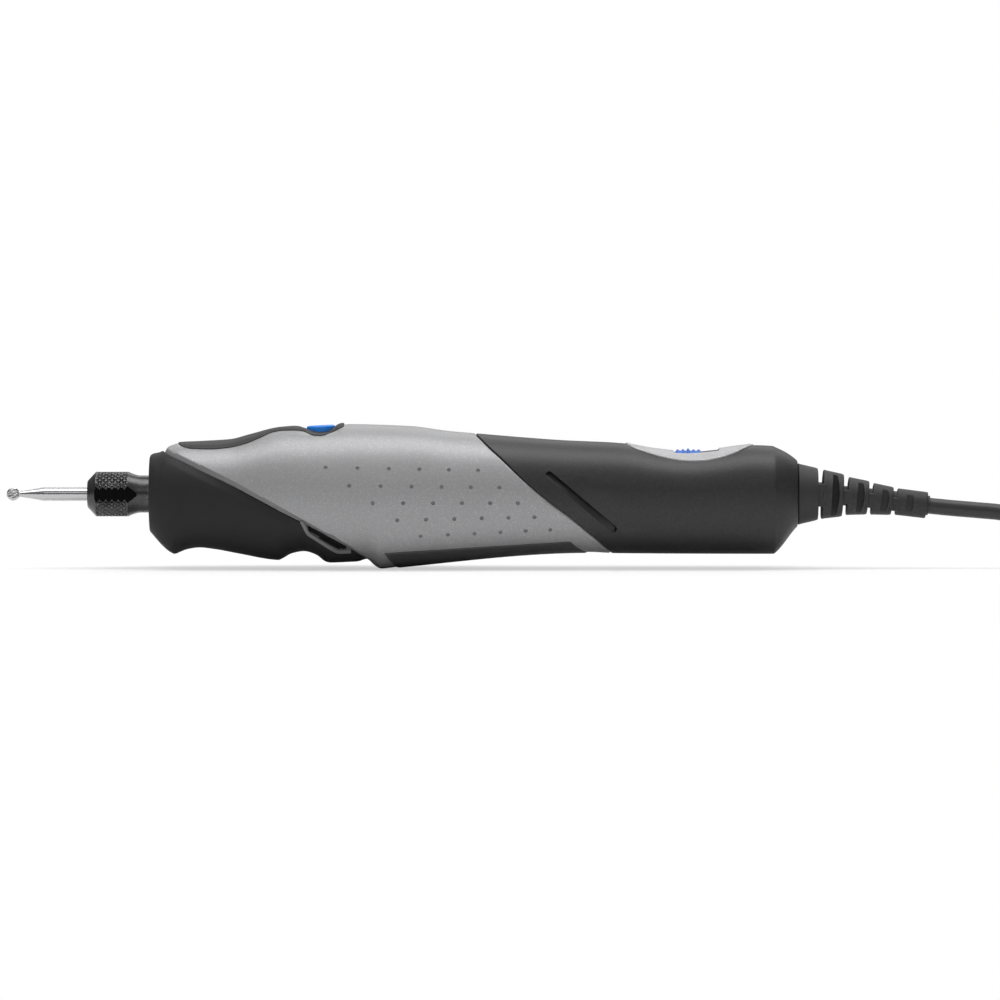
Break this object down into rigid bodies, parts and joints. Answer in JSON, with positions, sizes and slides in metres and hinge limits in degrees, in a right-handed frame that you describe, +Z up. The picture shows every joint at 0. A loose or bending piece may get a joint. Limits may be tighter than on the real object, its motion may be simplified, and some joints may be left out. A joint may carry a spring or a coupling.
{
  "type": "rotary engraving tool",
  "caption": "Pen-style corded rotary tool with a collet chuck, ball burr, spindle lock button, speed slider, vented housing and plug-in power adapter.",
  "frame": {"origin": "on the resting plane, under the middle of the tool without its cord", "axes": "+X along the spindle towards the cord, bit at -X; +Z up through the lock button"},
  "size_m": [0.3842, 0.0514, 0.0342],
  "materials": {
    "grip_rubber": "matte, soft touch",
    "shell_satin": "satin, fine metallic speck",
    "strip_rubber": "matte",
    "belly_rubber": "smooth",
    "vent_plastic": "matte",
    "rear_plastic": "fine grained",
    "pad_plastic": "satin",
    "boot_rubber": "matte",
    "screw_steel": "black",
    "bush_aluminium": "turned",
    "bearing_steel": "polished",
    "motor_steel": "zinc plated",
    "cap_plastic": "matte",
    "magnet_ferrite": "sintered",
    "brush_carbon": "carbon",
    "core_steel": "laminated",
    "copper": "enamelled wire",
    "fan_plastic": "moulded",
    "spindle_steel": "ground",
    "collet_steel": "ground",
    "nut_oxide": "black oxide, knurled",
    "bit_steel": "polished",
    "button_blue": "satin",
    "spring_steel": "drawn wire",
    "board_green": "lacquered",
    "switch_plastic": "moulded",
    "capacitor_sleeve": "shrink sleeve",
    "transistor_epoxy": "epoxy",
    "wire_red": "insulation",
    "cord_jacket": "smooth jacket",
    "tie_fabric": "hook and loop",
    "adapter_plastic": "fine spark grain",
    "transformer_core": "lacquered",
    "blade_brass": "nickel plated"
  },
  "bodies": {
    "root": {"front_grip": "grip_rubber", "shell_left": "shell_satin", "shell_right": "shell_satin", "top_strip": "strip_rubber", "belly_grip": "belly_rubber", "vent_grille_left": "vent_plastic", "vent_grille_right": "vent_plastic", "rear_housing_left": "rear_plastic", "rear_housing_right": "rear_plastic", "saddle_pad": "pad_plastic", "housing_screws": "screw_steel", "cord_boot": "boot_rubber", "nose_collar": "bush_aluminium", "bearing_carrier": "bush_aluminium", "front_bearing_outer": "bearing_steel", "front_bearing_balls": "bearing_steel", "rear_bearing_outer": "bearing_steel", "rear_bearing_balls": "bearing_steel", "motor_can": "motor_steel", "motor_end_cap": "cap_plastic", "magnets": "magnet_ferrite", "motor_brushes": "brush_carbon", "lock_spring": "spring_steel", "control_board": "board_green", "speed_switch": "switch_plastic", "capacitor": "capacitor_sleeve", "power_transistor": "transistor_epoxy", "motor_wires": "wire_red", "cord_clamp": "cap_plastic", "inner_cord": "cord_jacket", "cord": "cord_jacket", "cord_coil": "cord_jacket", "coil_tie": "tie_fabric", "cord_tail": "cord_jacket", "adapter_casing": "adapter_plastic", "adapter_cover": "adapter_plastic", "adapter_transformer": "transformer_core", "adapter_blades": "blade_brass", "adapter_relief": "cord_jacket"},
    "spindle": {"spindle_shaft": "spindle_steel", "front_bearing_inner": "bearing_steel", "rear_bearing_inner": "bearing_steel", "lock_wheel": "spindle_steel", "shaft_coupling": "bush_aluminium", "cooling_fan": "fan_plastic", "motor_shaft": "spindle_steel", "armature": "core_steel", "windings": "copper", "commutator": "copper"},
    "collet": {"collet": "collet_steel"},
    "nut": {"collet_nut": "nut_oxide"},
    "bit": {"bit": "bit_steel"},
    "lock": {"lock_button": "button_blue", "lock_pin": "spindle_steel"},
    "slider": {"power_slider": "button_blue"}
  },
  "joints": [
    {"name": "spindle_spin", "type": "hinge", "parent": "root", "child": "spindle", "pos_m": [-0.05455, 0, 0.0175], "axis": [1, 0, 0], "continuous": true},
    {"name": "collet_travel", "type": "slide", "parent": "spindle", "child": "collet", "axis": [-1, 0, 0], "range_m": [0, 0.0014]},
    {"name": "nut_turn", "type": "hinge", "parent": "collet", "child": "nut", "pos_m": [-0.08255, 0, 0.0175], "axis": [-1, 0, 0], "range_deg": [0, 720]},
    {"name": "bit_slide", "type": "slide", "parent": "collet", "child": "bit", "axis": [-1, 0, 0], "range_m": [0, 0.03]},
    {"name": "lock_press", "type": "slide", "parent": "root", "child": "lock", "axis": [0, 0, -1], "range_m": [0, 0.0022], "stiffness_N_per_m": 300, "springref_m": -0.0015, "deforming": ["lock_spring"]},
    {"name": "power_slide", "type": "slide", "parent": "root", "child": "slider", "axis": [1, 0, 0], "range_m": [0, 0.0038]}
  ],
  "couplings": [
    {"joint": "nut_turn", "follows": "collet_travel", "rad_per_m": 8975.9}
  ]
}
